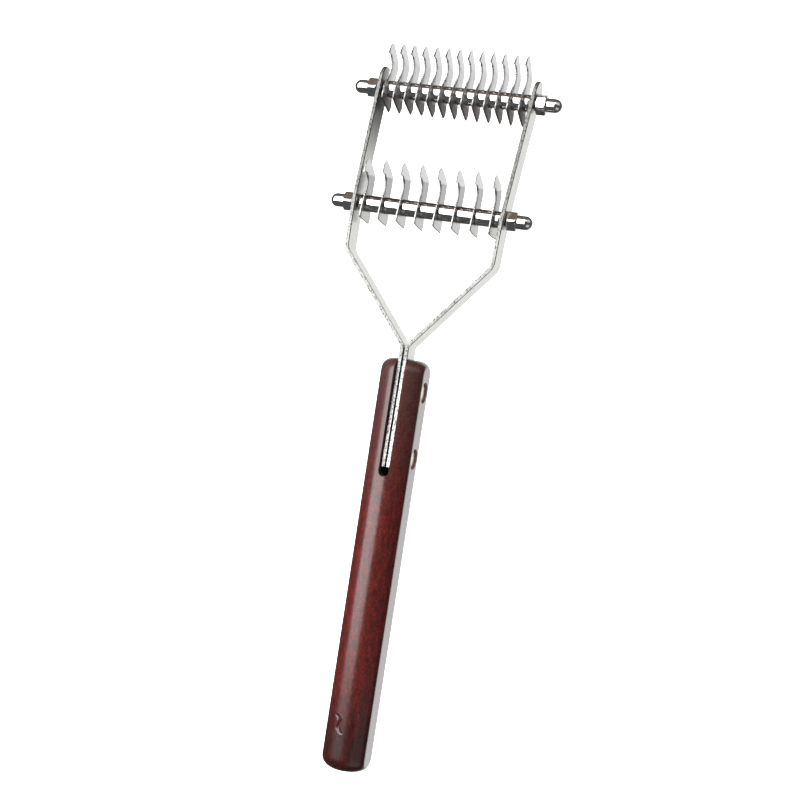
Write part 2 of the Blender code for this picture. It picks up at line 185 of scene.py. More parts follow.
# Floor: its colours, its glow, and how far from straight down a reflection still sees it bright.
FLOOR_HALF_SIZE = 3.0
FLOOR_Z = -0.2 * MM
FLOOR_COLOUR = (0.85, 0.85, 0.85)
FLOOR_LOW_COLOUR = (0.060, 0.058, 0.056)
FLOOR_STEEP = (0.2, 0.34)
FLOOR_CAMERA_GLOW = 0.5
FLOOR_STEEP_GLOW = 1.12

# The unlit room round the table, which only shows as the dark parts of reflections. The camera sees a
# plain backdrop in its place.
ROOM_BEHIND_GRIP = (0.080, 0.086, 0.085)
ROOM_BEHIND_HEAD = (0.19, 0.145, 0.12)
ROOM_BLEND = (0.1, 0.9)
BACKDROP_COLOUR = (0.9, 0.9, 0.9)

# Soft lights, a metre away: the way to each, its size across and along Y in metres, its brightness, and
# how far it is moved along Y.
SOFTBOX_DISTANCE = 1.0
SOFTBOXES = {
    "softbox_left": ((-0.56, 0.0, 0.828), (0.97, 1.04), 5.0, 0.24),
    "softbox_head": ((-0.17, 0.70, 0.69), (0.95, 0.30), 3.0, 0.0),
    "softbox_right_head": ((0.66, 0.62, 0.42), (0.9, 0.7), 0.5, 0.0),
    "softbox_right_grip": ((0.66, -0.62, 0.42), (0.9, 0.7), 0.5, 0.0),
}


# --------------------------------------------------------------------------------------------------
# Small helpers


def node_middle(name):
    low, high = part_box(name)
    return (low + high) / 2


def mesh_from(shape, name):
    mesh = bpy.data.meshes.new(name)
    shape.to_mesh(mesh)
    shape.free()
    return mesh


def add_object(name, data):
    made = bpy.data.objects.new(name, data)
    bpy.context.scene.collection.objects.link(made)
    return made


def evaluated_mesh(obj):
    """A new mesh with the object's modifiers applied."""
    bpy.context.view_layer.update()
    graph = bpy.context.evaluated_depsgraph_get()
    return bpy.data.meshes.new_from_object(obj.evaluated_get(graph))


def shade(mesh, sharp):
    mesh.shade_smooth()
    mesh.set_sharp_from_angle(angle=math.radians(sharp))


def soften(piece, sharp):
    """Smooth shading in which the large flat faces stay flat. Edges over sharp degrees stay hard."""
    shade(piece.data, sharp)
    normals = piece.modifiers.new("normals", "WEIGHTED_NORMAL")
    normals.keep_sharp = True


def add_piece(name, mesh, material, body, replaced, sharp=HARD_EDGE):
    """A visible piece in place of a CAD node. Its mesh is already in the frame's own place."""
    piece = add_object(name, mesh)
    if not mesh.materials:
        mesh.materials.append(material)
    soften(piece, sharp)
    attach(piece, body)
    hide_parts(replaced)


def lathe(shape, profile, steps, closed=False, radius_at=None):
    """Turns (x, radius) points round the X axis. radius_at can change a ring's radius by its angle."""
    rings = []
    for x, radius in profile:
        if radius < 1e-9:
            rings.append([shape.verts.new((x, 0.0, 0.0))])
            continue
        ring = []
        for i in range(steps):
            angle = 2 * math.pi * i / steps
            r = radius_at(x, radius, angle) if radius_at else radius
            ring.append(shape.verts.new((x, r * math.cos(angle), r * math.sin(angle))))
        rings.append(ring)
    pairs = list(zip(rings, rings[1:]))
    if closed:
        pairs.append((rings[-1], rings[0]))
    for first, second in pairs:
        for i in range(steps):
            j = (i + 1) % steps
            corners = [first[i % len(first)], first[j % len(first)]]
            corners += [second[j % len(second)], second[i % len(second)]]
            unique = list(dict.fromkeys(corners))
            if len(unique) > 2:
                shape.faces.new(unique)
    bmesh.ops.recalc_face_normals(shape, faces=shape.faces)


def bridge(shape, first, second):
    """A band of faces between two closed loops of as many points."""
    for i in range(len(first)):
        j = (i + 1) % len(first)
        shape.faces.new((first[i], first[j], second[j], second[i]))


def corner_round(x, radius, size, x_side):
    """Points round an outer edge at (x, radius), from the face to the outside."""
    points = []
    for i in range(EDGE_STEPS + 1):
        angle = math.pi / 2 * i / EDGE_STEPS
        inset = size * (1 - math.cos(angle))
        drop = size * (1 - math.sin(angle))
        points.append((x - x_side * inset, radius - drop))
    return points


def hermite(start, end, start_slope, end_slope, t):
    t2 = t * t
    t3 = t2 * t
    return (
        start * (2 * t3 - 3 * t2 + 1)
        + start_slope * (t3 - 2 * t2 + t)
        + end * (3 * t2 - 2 * t3)
        + end_slope * (t3 - t2)
    )


# --------------------------------------------------------------------------------------------------
# Material helpers


class Shader:
    """A Principled material with short calls for the nodes that the finishes share."""

    def __init__(self, name, **sockets):
        self.material = bpy.data.materials.new(name)
        self.material.use_nodes = True
        self.tree = self.material.node_tree
        self.bsdf = self.tree.nodes["Principled BSDF"]
        for socket, value in sockets.items():
            self.bsdf.inputs[socket.replace("_", " ")].default_value = value
        self.place = self.node("ShaderNodeTexCoord").outputs["Object"]

    def node(self, kind, **settings):
        made = self.tree.nodes.new(kind)
        for name, value in settings.items():
            setattr(made, name, value)
        return made

    def link(self, source, target):
        self.tree.links.new(source, target)

    def stretched(self, scale):
        """The object's own coordinates, in metres, times scale."""
        mapping = self.node("ShaderNodeMapping")
        mapping.inputs["Scale"].default_value = scale
        self.link(self.place, mapping.inputs["Vector"])
        return mapping.outputs["Vector"]

    def noise(self, scale, detail=4.0, roughness=0.55, distortion=0.0):
        made = self.node("ShaderNodeTexNoise")
        made.inputs["Scale"].default_value = 1.0
        made.inputs["Detail"].default_value = detail
        made.inputs["Roughness"].default_value = roughness
        made.inputs["Distortion"].default_value = distortion
        self.link(self.stretched(scale), made.inputs["Vector"])
        return made.outputs["Fac"]

    def ramp(self, value, stops):
        """stops are (position, colour or grey value)."""
        made = self.node("ShaderNodeValToRGB")
        elements = made.color_ramp.elements
        while len(elements) < len(stops):
            elements.new(0.5)
        for element, (position, colour) in zip(elements, stops):
            element.position = position
            if isinstance(colour, float):
                colour = (colour, colour, colour)
            element.color = (*colour, 1.0)
        self.link(value, made.inputs["Fac"])
        return made.outputs["Color"]

    def along(self, axis, start, end):
        """0 to 1 as the object's own X, Y or Z goes from start to end."""
        parts = self.node("ShaderNodeSeparateXYZ")
        self.link(self.place, parts.inputs["Vector"])
        span = self.node("ShaderNodeMapRange")
        self.link(parts.outputs[axis], span.inputs["Value"])
        span.inputs["From Min"].default_value = start
        span.inputs["From Max"].default_value = end
        return span.outputs["Result"]

    def mix(self, factor, first, second, mode="MIX"):
        made = self.node("ShaderNodeMix", data_type="RGBA", blend_type=mode)
        sockets = {s.identifier: s for s in made.inputs}
        for key, value in (
            ("Factor_Float", factor),
            ("A_Color", first),
            ("B_Color", second),
        ):
            if isinstance(value, bpy.types.NodeSocket):
                self.link(value, sockets[key])
            elif isinstance(value, tuple):
                sockets[key].default_value = (*value, 1.0)
            else:
                sockets[key].default_value = value
        return next(s for s in made.outputs if s.identifier == "Result_Color")

    def math(self, operation, first, second):
        made = self.node("ShaderNodeMath", operation=operation)
        for target, value in zip(made.inputs, (first, second)):
            if isinstance(value, bpy.types.NodeSocket):
                self.link(value, target)
            else:
                target.default_value = value
        return made.outputs["Value"]

    def bump(self, height, distance, strength):
        made = self.node("ShaderNodeBump")
        made.inputs["Strength"].default_value = strength
        made.inputs["Distance"].default_value = distance
        self.link(height, made.inputs["Height"])
        return made.outputs["Normal"]

    def set(self, socket, value):
        self.link(value, self.bsdf.inputs[socket])


def wood_material(axis_x, grip_end):
    """Dark red-brown lacquer on straight-grained wood: paler on the flats by wear and painted reflection,
    darker at the grip's end by painted shade.
    """
    s = Shader("lacquered_wood", Roughness=0.4, Coat_Weight=1.0, Coat_Roughness=0.2, Coat_IOR=1.46)
    s.bsdf.inputs["Specular IOR Level"].default_value = 0.3
    grain = s.noise((1000.0, 300.0, 1000.0), detail=5.0, distortion=0.3)
    mottle = s.noise((1900.0, 1500.0, 1900.0), detail=3.0)
    pores = s.noise((3200.0, 260.0, 3200.0), detail=2.0, roughness=0.4)
    dark = (0.062, 0.0058, 0.0042)
    red = (0.170, 0.0135, 0.0098)
    tone = s.ramp(grain, [(0.30, dark), (0.66, red)])
    blotch = s.ramp(mottle, [(0.33, 0.48), (0.67, 1.40)])
    tone = s.mix(1.0, tone, blotch, "MULTIPLY")
    pore = s.ramp(pores, [(0.30, 0.45), (0.44, 1.0)])
    tone = s.mix(0.8, tone, s.mix(1.0, tone, pore, "MULTIPLY"))
    # Painted shade: the wood darkens towards the grip's end, where the light falls off.
    painted_grip_shade = s.along("Y", *[grip_end + y for y in GRIP_END_PAINTED_SHADE])
    tone = s.mix(painted_grip_shade, tone, s.mix(1.0, tone, (0.38, 0.50, 0.60), "MULTIPLY"))
    # The wood turns greyer brown, in patches, towards the head end.
    head_greying = s.math("MULTIPLY", s.along("Y", *[grip_end + y for y in HEAD_GREYING]), blotch)
    tone = s.mix(s.math("MULTIPLY", head_greying, 0.8), tone, (0.085, 0.042, 0.036))
    right = s.along("X", *[axis_x + x for x in FLAT_FINISH])
    left = s.along("X", *[axis_x - x for x in FLAT_FINISH])
    flat = s.math("MAXIMUM", left, right)
    # The flats' paler tone is partly wear and partly a painted reflection of the bright floor beside them.
    worn = s.ramp(mottle, [(0.3, (0.17, 0.075, 0.07)), (0.7, (0.27, 0.14, 0.135))])
    s.set("Base Color", s.mix(flat, tone, worn))
    rough = s.ramp(s.noise((700.0, 300.0, 700.0)), [(0.3, 0.34), (0.7, 0.46)])
    s.set("Roughness", s.mix(flat, rough, (0.16, 0.16, 0.16)))
    height = s.mix(0.35, s.ramp(grain, [(0.2, 0.0), (0.8, 1.0)]), mottle)
    s.set("Normal", s.bump(height, 0.00008, 0.7))
    return s.material


def bare_wood_material(name, dark, light):
    """Unlacquered wood between two tones, for the slot and the rivets' recesses."""
    s = Shader(name, Roughness=0.8)
    fibres = s.noise((1500.0, 200.0, 1500.0))
    s.set("Base Color", s.ramp(fibres, [(0.3, dark), (0.7, light)]))
    s.set("Normal", s.bump(fibres, 0.00008, 0.5))
    return s.material


def strap_material(name, painted_shade_span):
    """Plated strip: satin faces with fine streaks. Painted shade, dark and rough, thickens between two places
    along Y.
    """
    s = Shader(name, Metallic=1.0, Roughness=0.3)
    streaks = s.noise((900.0, 350.0, 2400.0), detail=4.0)
    cloud = s.noise((150.0, 90.0, 150.0), detail=3.0)
    tone = s.ramp(streaks, [(0.3, (0.58, 0.58, 0.56)), (0.7, (0.76, 0.75, 0.72))])
    tone = s.mix(1.0, tone, s.ramp(cloud, [(0.3, 0.88), (0.7, 1.0)]), "MULTIPLY")
    # Painted shade: the strip turns dark and rough between these places.
    painted_strap_shade = s.math("MULTIPLY", s.along("Y", *painted_shade_span), s.along("Y", painted_shade_span[1] + 9 * MM, painted_shade_span[1] + 6 * MM))
    s.set("Base Color", s.mix(painted_strap_shade, tone, s.mix(1.0, tone, (0.22, 0.23, 0.21), "MULTIPLY")))
    rough = s.ramp(streaks, [(0.25, 0.24), (0.75, 0.36)])
    s.set("Roughness", s.mix(painted_strap_shade, rough, (0.6, 0.6, 0.6)))
    s.set("Normal", s.bump(streaks, 0.00003, 0.2))
    return s.material


def strap_edge_material(dull, slot_painted_light):
    """The strip's sheared edges, with drag marks and small dark pits.

    They turn duller between two places along Y, and brighter with painted light as they enter the slot,
    between two others, where its walls shade them.
    """
    s = Shader("strap_edge", Metallic=1.0, Roughness=0.6)
    drag = s.noise((1500.0, 700.0, 900.0), detail=3.0)
    pits = s.noise((2600.0, 1700.0, 2600.0), detail=2.0)
    tone = s.ramp(drag, [(0.32, (0.36, 0.36, 0.355)), (0.68, (0.56, 0.56, 0.54))])
    tone = s.mix(s.along("Y", *dull), tone, s.mix(1.0, tone, (0.58, 0.58, 0.57), "MULTIPLY"))
    # Painted light: the edges are lightened in the slot, where its walls shade them.
    tone = s.mix(s.along("Y", *slot_painted_light), tone, (0.84, 0.84, 0.82))
    s.set("Base Color", s.mix(1.0, tone, s.ramp(pits, [(0.40, 0.30), (0.47, 1.0)]), "MULTIPLY"))
    s.set("Roughness", s.ramp(drag, [(0.3, 0.52), (0.7, 0.66)]))
    s.set("Normal", s.bump(drag, 0.00004, 0.4))
    return s.material


def blade_material(name, shine, tail, tail_painted_shading, tail_rough):
    """Tumbled stainless sheet, with grinding marks across the blade. Its tail has a roughness of its own and
    a painted shading factor on its colour.
    """
    s = Shader(name, Metallic=1.0, Roughness=0.32)
    marks = s.noise((900.0, 2600.0, 300.0), detail=4.0)
    cloud = s.noise((300.0, 220.0, 300.0), detail=3.0)
    tone = s.ramp(marks, [(0.3, shine * 0.88), (0.7, shine * 1.12)])
    tone = s.mix(1.0, tone, s.ramp(cloud, [(0.3, 0.88), (0.7, 1.0)]), "MULTIPLY")
    # On the tail the colour is scaled by a painted shading factor: painted shade where it is under one,
    # painted light where it is over one.
    on_tail = s.along("Y", *tail)
    s.set("Base Color", s.mix(on_tail, tone, s.mix(1.0, tone, tail_painted_shading, "MULTIPLY")))
    rough = s.ramp(marks, [(0.25, 0.26), (0.75, 0.4)])
    s.set("Roughness", s.mix(on_tail, rough, (tail_rough,) * 3))
    s.set("Normal", s.bump(marks, 0.00002, 0.25))
    return s.material


def burr_material_painted_dark():
    """The rough arris that stamping leaves along one side of a blade, painted near-black as a painted dark
    reflection; the arms' outer arris gets it too.
    """
    s = Shader("stamped_arris_painted_dark", Metallic=1.0, Roughness=0.5)
    nicks = s.noise((2600.0, 2600.0, 2600.0), detail=3.0)
    # Painted dark reflection: the near-black colour stands in for the dark horizon that the arris reflects.
    s.set("Base Color", s.ramp(nicks, [(0.35, (0.015, 0.015, 0.015)), (0.65, (0.09, 0.09, 0.09))]))
    s.set("Roughness", s.ramp(nicks, [(0.3, 0.42), (0.7, 0.6)]))
    s.set("Normal", s.bump(nicks, 0.00003, 0.4))
    return s.material


def ground_material():
    """The blade's freshly ground nose: brighter and finer than the sheet."""
    s = Shader("ground_steel", Metallic=1.0, Roughness=0.26)
    marks = s.noise((600.0, 500.0, 4200.0), detail=3.0)
    s.set("Base Color", s.ramp(marks, [(0.3, (0.52, 0.52, 0.52)), (0.7, (0.62, 0.62, 0.61))]))
    s.set("Roughness", s.ramp(marks, [(0.25, 0.2), (0.75, 0.34)]))
    s.set("Normal", s.bump(marks, 0.00002, 0.2))
    return s.material


def chrome_material():
    """Bright plating with faint turning rings and a few dull spots."""
    s = Shader("chrome_plate", Metallic=1.0, Roughness=0.07)
    rings = s.noise((5200.0, 300.0, 300.0), detail=2.0)
    spots = s.noise((700.0, 700.0, 700.0), detail=5.0)
    s.set("Base Color", s.ramp(spots, [(0.3, (0.66, 0.64, 0.61)), (0.5, (0.83, 0.82, 0.80))]))
    rough = s.ramp(spots, [(0.3, 0.14), (0.55, 0.06)])
    s.set("Roughness", rough)
    s.set("Normal", s.bump(rings, 0.00001, 0.08))
    return s.material


def rod_material():
    s = Shader("rod_steel", Metallic=1.0, Roughness=0.2)
    rings = s.noise((6000.0, 250.0, 250.0), detail=3.0)
    s.set("Base Color", s.ramp(rings, [(0.3, (0.5, 0.5, 0.49)), (0.7, (0.68, 0.68, 0.67))]))
    s.set("Roughness", s.ramp(rings, [(0.3, 0.16), (0.7, 0.3)]))
    s.set("Normal", s.bump(rings, 0.00003, 0.3))
    return s.material


def rivet_material():
    """Nickel-plated brass, worn to a pale yellow."""
    s = Shader("rivet_metal", Metallic=1.0, Roughness=0.3)
    wear = s.noise((900.0, 900.0, 900.0), detail=4.0)
    s.set("Base Color", s.ramp(wear, [(0.35, (0.80, 0.78, 0.70)), (0.65, (0.78, 0.70, 0.48))]))
    s.set("Roughness", s.ramp(wear, [(0.3, 0.22), (0.7, 0.4)]))
    s.set("Normal", s.bump(wear, 0.00003, 0.3))
    return s.material


# --------------------------------------------------------------------------------------------------
# Handle


def handle_radius_at(distance, angle):
    """Distance of the handle's surface from its axis, this far in from the nearer end."""
    inset = max(HANDLE_END_ROUND - distance, 0.0)
    shrink = HANDLE_END_ROUND - math.sqrt(max(HANDLE_END_ROUND**2 - inset**2, 0.0))
    round_part = HANDLE_RADIUS - shrink
    across = abs(math.cos(angle))
    flat_part = HANDLE_FLAT / across if across > 1e-6 else 1e9
    p = ARRIS_SHARPNESS
    return (round_part**-p + flat_part**-p) ** (-1 / p)


def gouge_height(x, y):
    """Height of the gouge's surface above the handle's own: a bent groove with a raised rim."""
    line = GOUGE_END - GOUGE_START
    point = Vector((x, y)) - GOUGE_START
    t = point.dot(line) / line.length_squared
    if not -GOUGE_REACH < t < 1 + GOUGE_REACH:
        return 0.0
    side = line.orthogonal().normalized()
    offset = point.dot(side) - GOUGE_BEND * math.sin(2 * math.pi * t)
    beyond = max(-t, t - 1, 0.0) * line.length
    distance = math.hypot(offset, beyond) / GOUGE_HALF_WIDTH
    fade = math.sin(math.pi * min(max(t, GOUGE_FADE), 1 - GOUGE_FADE))
    groove = math.exp(-(distance**2) * GOUGE_STEEPNESS)
    rim = math.exp(-(((distance - GOUGE_RIM_PLACE) / GOUGE_RIM_WIDTH) ** 2))
    return fade * (GOUGE_RIM * rim - GOUGE_DEPTH * groove)


def handle_stations(length):
    """Distances from the head end where the handle's rings lie: close together at the ends and the gouge."""
    turns = [math.pi / 2 * i / HANDLE_END_RINGS for i in range(HANDLE_END_RINGS + 1)]
    arc = [HANDLE_END_ROUND * (1 - math.cos(turn)) for turn in turns]
    gouge_low = -GOUGE_START.y - GOUGE_MARGIN
    gouge_high = -GOUGE_END.y + GOUGE_MARGIN
    middle = []
    y = HANDLE_END_ROUND
    while y < length - HANDLE_END_ROUND - HANDLE_LAST_GAP:
        y += GOUGE_RING_GAP if gouge_low < y < gouge_high else HANDLE_RING_GAP
        middle.append(y)
    return arc + middle + [length - a for a in reversed(arc)]


def handle_body(origin, length):
    shape = bmesh.new()
    rings = []
    for distance in handle_stations(length):
        near = min(distance, length - distance)
        ring = []
        for i in range(HANDLE_STEPS):
            angle = 2 * math.pi * (i + 0.5) / HANDLE_STEPS
            radius = handle_radius_at(near, angle)
            x = radius * math.cos(angle)
            z = radius * math.sin(angle)
            if z > 0:
                lift = gouge_height(x, -distance)
                x += lift * math.cos(angle)
                z += lift * math.sin(angle)
            ring.append(shape.verts.new((x, -distance, z)))
        rings.append(ring)
    for first, second in zip(rings, rings[1:]):
        bridge(shape, first, second)
    shape.faces.new(rings[0][::-1])
    shape.faces.new(rings[-1])
    bmesh.ops.recalc_face_normals(shape, faces=shape.faces)
    bmesh.ops.translate(shape, vec=origin, verts=shape.verts)
    return mesh_from(shape, "handle_wood")


def prism(outline, low, high):
    """A closed outline of (x, y) points, from low to high along Z."""
    shape = bmesh.new()
    bottom = [shape.verts.new((x, y, low)) for x, y in outline]
    top = [shape.verts.new((x, y, high)) for x, y in outline]
    bridge(shape, bottom, top)
    shape.faces.new(bottom[::-1])
    shape.faces.new(top)
    bmesh.ops.recalc_face_normals(shape, faces=shape.faces)
    return shape


def slot_cutter():
    """The slot for the arms: open at the front and at the head end, with a milled round end."""
    half = SLOT_WIDTH / 2
    centre_y = half - SLOT_LENGTH
    turns = [math.pi * i / SLOT_END_STEPS for i in range(SLOT_END_STEPS + 1)]
    outline = [(-half * math.cos(a), centre_y - half * math.sin(a)) for a in turns]
    outline += [(half, 2 * CUT_MARGIN), (-half, 2 * CUT_MARGIN)]
    return prism(outline, SLOT_FLOOR_Z, HANDLE_RADIUS + 1.5 * CUT_MARGIN)


def rivet_hole_cutter():
    """A through hole with a round recess in each flat."""
    outer = HANDLE_FLAT + CUT_MARGIN
    recess = HANDLE_FLAT - RECESS_DEPTH
    profile = [
        (-outer, 0.0),
        (-outer, RECESS_RADIUS),
        (-recess, RECESS_RADIUS),
        (-recess, RIVET_HOLE_RADIUS),
        (recess, RIVET_HOLE_RADIUS),
        (recess, RECESS_RADIUS),
        (outer, RECESS_RADIUS),
        (outer, 0.0),
    ]
    shape = bmesh.new()
    lathe(shape, profile, RIVET_HOLE_STEPS)
    return shape


def cut(target, shape, origin, material):
    """Takes a shape away from the target mesh object. The walls that it leaves get the cutter's material."""
    mesh = mesh_from(shape, "cutter")
    mesh.transform(Matrix.Translation(origin))
    mesh.materials.append(material)
    cutter = add_object("cutter", mesh)
    modifier = target.modifiers.new("cut", "BOOLEAN")
    modifier.solver = "EXACT"
    modifier.object = cutter
    modifier.material_mode = "TRANSFER"
    result = evaluated_mesh(target)
    target.modifiers.clear()
    target.data = result
    bpy.data.objects.remove(cutter, do_unlink=True)


def build_handle(wood, slot_wood, recess_wood_painted_light):
    low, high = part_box("handle")
    origin = Vector(((low.x + high.x) / 2, high.y, (low.z + high.z) / 2))
    mesh = handle_body(origin, high.y - low.y)
    mesh.materials.append(wood)
    handle = add_object("handle_wood", mesh)
    cut(handle, slot_cutter(), origin, slot_wood)
    for rivet in RIVETS:
        centre = node_middle(rivet)
        cut(handle, rivet_hole_cutter(), Vector((origin.x, centre.y, centre.z)), recess_wood_painted_light)
    handle.data.name = "handle_wood"
    shade(handle.data, HANDLE_HARD_EDGE)
    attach(handle, "frame")
    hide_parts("handle")


def build_rivet(node, material):
    """A through rivet with two low-domed heads."""
    low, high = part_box(node)
    centre = (low + high) / 2
    half = (high.x - low.x) / 2
    head = (high.z - low.z) / 2
    seat = HANDLE_FLAT - RECESS_DEPTH + RECESS_CLEARANCE
    side = []
    for i in range(RIVET_CROWN_STEPS):
        out = i / RIVET_CROWN_STEPS
        side.append((half - RIVET_CROWN * out**2, (head - RIVET_EDGE) * out))
    side += corner_round(half - RIVET_CROWN, head, RIVET_EDGE, 1)[1:]
    side += [(seat, head), (seat, RIVET_RADIUS)]
    profile = side + [(-x, radius) for x, radius in reversed(side)]
    shape = bmesh.new()
    lathe(shape, profile, ROUND_STEPS)
    bmesh.ops.translate(shape, vec=centre, verts=shape.verts)
    add_piece(node + "_worn", mesh_from(shape, node + "_worn"), material, "frame", node)


# --------------------------------------------------------------------------------------------------
# Arms


def build_arm(node, face_material, edge_material, arris_material):
    """The CAD strap with its long edges softened. Its sheared edges have their own finish, and its outer
    arris gets the painted dark reflection.
    """
    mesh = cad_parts[node].data.copy()
    mesh.name = node + "_strip"
    shape = bmesh.new()
    shape.from_mesh(mesh)
    bmesh.ops.remove_doubles(shape, verts=shape.verts, dist=STRAP_WELD)
    flat = math.radians(STRAP_JOIN_UNDER)
    bmesh.ops.dissolve_limit(shape, angle_limit=flat, verts=shape.verts, edges=shape.edges)
    shape.to_mesh(mesh)
    shape.free()
    arm = add_object(node + "_strip", mesh)
    bevel = arm.modifiers.new("edges", "BEVEL")
    bevel.width = STRAP_EDGE
    bevel.segments = STRAP_EDGE_SEGMENTS
    bevel.limit_method = "ANGLE"
    bevel.angle_limit = math.radians(STRAP_SOFTEN_FROM)
    bevel.use_clamp_overlap = False
    arm.data = evaluated_mesh(arm)
    arm.modifiers.clear()
    arm.data.name = node + "_strip"
    arm.data.materials.clear()
    for material in (face_material, edge_material, arris_material):
        arm.data.materials.append(material)
    for face in arm.data.polygons:
        if abs(face.normal.z) > EDGE_FACE_LEAN:
            face.material_index = 2 if face.normal.x > EDGE_FACE_LEAN else 1
    soften(arm, STRAP_HARD_EDGE)
    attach(arm, "frame")
    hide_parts(node)


# --------------------------------------------------------------------------------------------------
# Rows


def build_rod(node, body, material):
    """A drawn rod with rounded ends. It shows only in the narrow gaps of its stack."""
    low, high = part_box(node)
    half = (high.x - low.x) / 2
    profile = [(half, 0.0)]
    profile += corner_round(half, ROD_RADIUS, ROD_EDGE, 1)
    profile += reversed(corner_round(-half, ROD_RADIUS, ROD_EDGE, -1))
    profile += [(-half, 0.0)]
    shape = bmesh.new()
    lathe(shape, profile, ROUND_STEPS)
    bmesh.ops.translate(shape, vec=(low + high) / 2, verts=shape.verts)
    add_piece(node + "_drawn", mesh_from(shape, node + "_drawn"), material, body, node)


def build_spacer(node, body, material):
    """A tube with rounded outer edges and a chamfered bore."""
    low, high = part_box(node)
    centre = (low + high) / 2
    half = (high.x - low.x) / 2
    profile = [(half, BORE_RADIUS + BORE_CHAMFER)]
    profile += corner_round(half, SPACER_RADIUS, SPACER_EDGE, 1)
    profile += reversed(corner_round(-half, SPACER_RADIUS, SPACER_EDGE, -1))
    profile += [(-half, BORE_RADIUS + BORE_CHAMFER), (-half + BORE_CHAMFER, BORE_RADIUS)]
    profile += [(half - BORE_CHAMFER, BORE_RADIUS)]
    shape = bmesh.new()
    lathe(shape, profile, ROUND_STEPS, closed=True)
    bmesh.ops.translate(shape, vec=centre, verts=shape.verts)
    add_piece(node + "_tube", mesh_from(shape, node + "_tube"), material, body, node)


def hexagon_radius(angle):
    """A hexagon with worn corners, flats apart by NUT_ACROSS_FLATS."""
    p = NUT_CORNER_SHARPNESS
    total = sum(max(math.cos(angle - math.radians(60 * k)), 0.0) ** p for k in range(6))
    return NUT_ACROSS_FLATS / 2 / total ** (1 / p)


def nut_turn(node):
    """The way one flat of the CAD nut's hexagon faces, round X: 30 degrees past a corner."""
    centre = node_middle(node)
    points = [v.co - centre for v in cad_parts[node].data.vertices]
    corner = max(points, key=lambda p: math.hypot(p.y, p.z))
    return math.atan2(corner.z, corner.y) + math.radians(30)


def nut_profile(length):
    """(x, radius) points: up the bore, round the open face, along the hexagon and over the dome."""
    inner = NUT_ACROSS_FLATS / 2
    neck = NUT_DOME_RADIUS
    fillet = NUT_NECK_FILLET
    profile = [(NUT_BORE_DEPTH, 0.0), (NUT_BORE_DEPTH, BORE_RADIUS), (NUT_BORE_CHAMFER, BORE_RADIUS)]
    profile += [(0.0, BORE_RADIUS + NUT_BORE_CHAMFER), (0.0, inner * NUT_FACE_REACH)]
    for i in range(NUT_HEX_STEPS + 1):
        profile.append((NUT_HEX_LENGTH * (1 - math.cos(math.pi * i / NUT_HEX_STEPS)) / 2, inner))
    profile += [(NUT_HEX_LENGTH, neck + fillet), (NUT_HEX_LENGTH + fillet, neck)]
    for i in range(NUT_DOME_STEPS):
        angle = math.pi / 2 * i / NUT_DOME_STEPS
        profile.append((length - neck + neck * math.sin(angle), neck * math.cos(angle)))
    return profile + [(length, 0.0)]


def build_nut(node, body, outward, material):
    """A cap nut, open end first: chamfered hexagon, neck, domed cap and blind bore."""
    low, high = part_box(node)
    face = low.x if outward > 0 else high.x
    centre = (low + high) / 2
    turn = nut_turn(node)
    inner = NUT_ACROSS_FLATS / 2
    slope = math.tan(math.radians(NUT_CHAMFER_ANGLE))

    def radius_at(x, radius, angle):
        if radius < inner:
            return radius
        chamfer = inner * NUT_CHAMFER_START + slope * min(x, NUT_HEX_LENGTH - x)
        flat = hexagon_radius(angle - turn * outward)
        p = NUT_CHAMFER_SHARPNESS
        return (flat**-p + chamfer**-p) ** (-1 / p)

    shape = bmesh.new()
    lathe(shape, nut_profile(high.x - low.x), NUT_STEPS, radius_at=radius_at)
    bmesh.ops.remove_doubles(shape, verts=shape.verts, dist=NUT_WELD)
    if outward < 0:
        bmesh.ops.transform(shape, matrix=Matrix.Rotation(math.pi, 4, "Z"), verts=shape.verts)
        bmesh.ops.transform(shape, matrix=Matrix.Rotation(math.pi, 4, "X"), verts=shape.verts)
    bmesh.ops.recalc_face_normals(shape, faces=shape.faces)
    bmesh.ops.translate(shape, vec=(face, centre.y, centre.z), verts=shape.verts)
    add_piece(node + "_cap", mesh_from(shape, node + "_cap"), material, body, node)


def blade_outline():
    """The closed outline in millimetres, and which of its points are notches of the serrated edge."""
    count = len(BLADE_OUTLINE)
    points = []
    notches = []
    for i, (along, out, corner) in enumerate(BLADE_OUTLINE):
        here = Vector((along, out))
        after = BLADE_OUTLINE[(i + 1) % count]
        there = Vector(after[:2])
        before = Vector(BLADE_OUTLINE[i - 1][:2])
        beyond = Vector(BLADE_OUTLINE[(i + 2) % count][:2])
        leave = Vector((0.0, 0.0)) if corner else (there - before) / 2
        arrive = Vector((0.0, 0.0)) if after[2] else (beyond - here) / 2
        serrated = i in SERRATED_SPANS
        steps = 2 * BLADE_CURVE_STEPS if serrated else BLADE_CURVE_STEPS
        for step in range(steps):
            points.append(hermite(here, there, leave, arrive, step / steps))
            notches.append(serrated and NOTCHED_POINTS[step % len(NOTCHED_POINTS)])
    return points, notches


def inward_ways(points):
    """For each point of an outline, the step that moves its edges in by one, cut short at sharp corners."""
    ways = []
    for i, point in enumerate(points):
        first = (point - points[i - 1]).normalized().orthogonal()
        second = (points[(i + 1) % len(points)] - point).normalized().orthogonal()
        way = (first + second).normalized()
        ways.append(way * (1 / max(way.dot(first), MITRE_LIMIT)))
    return ways


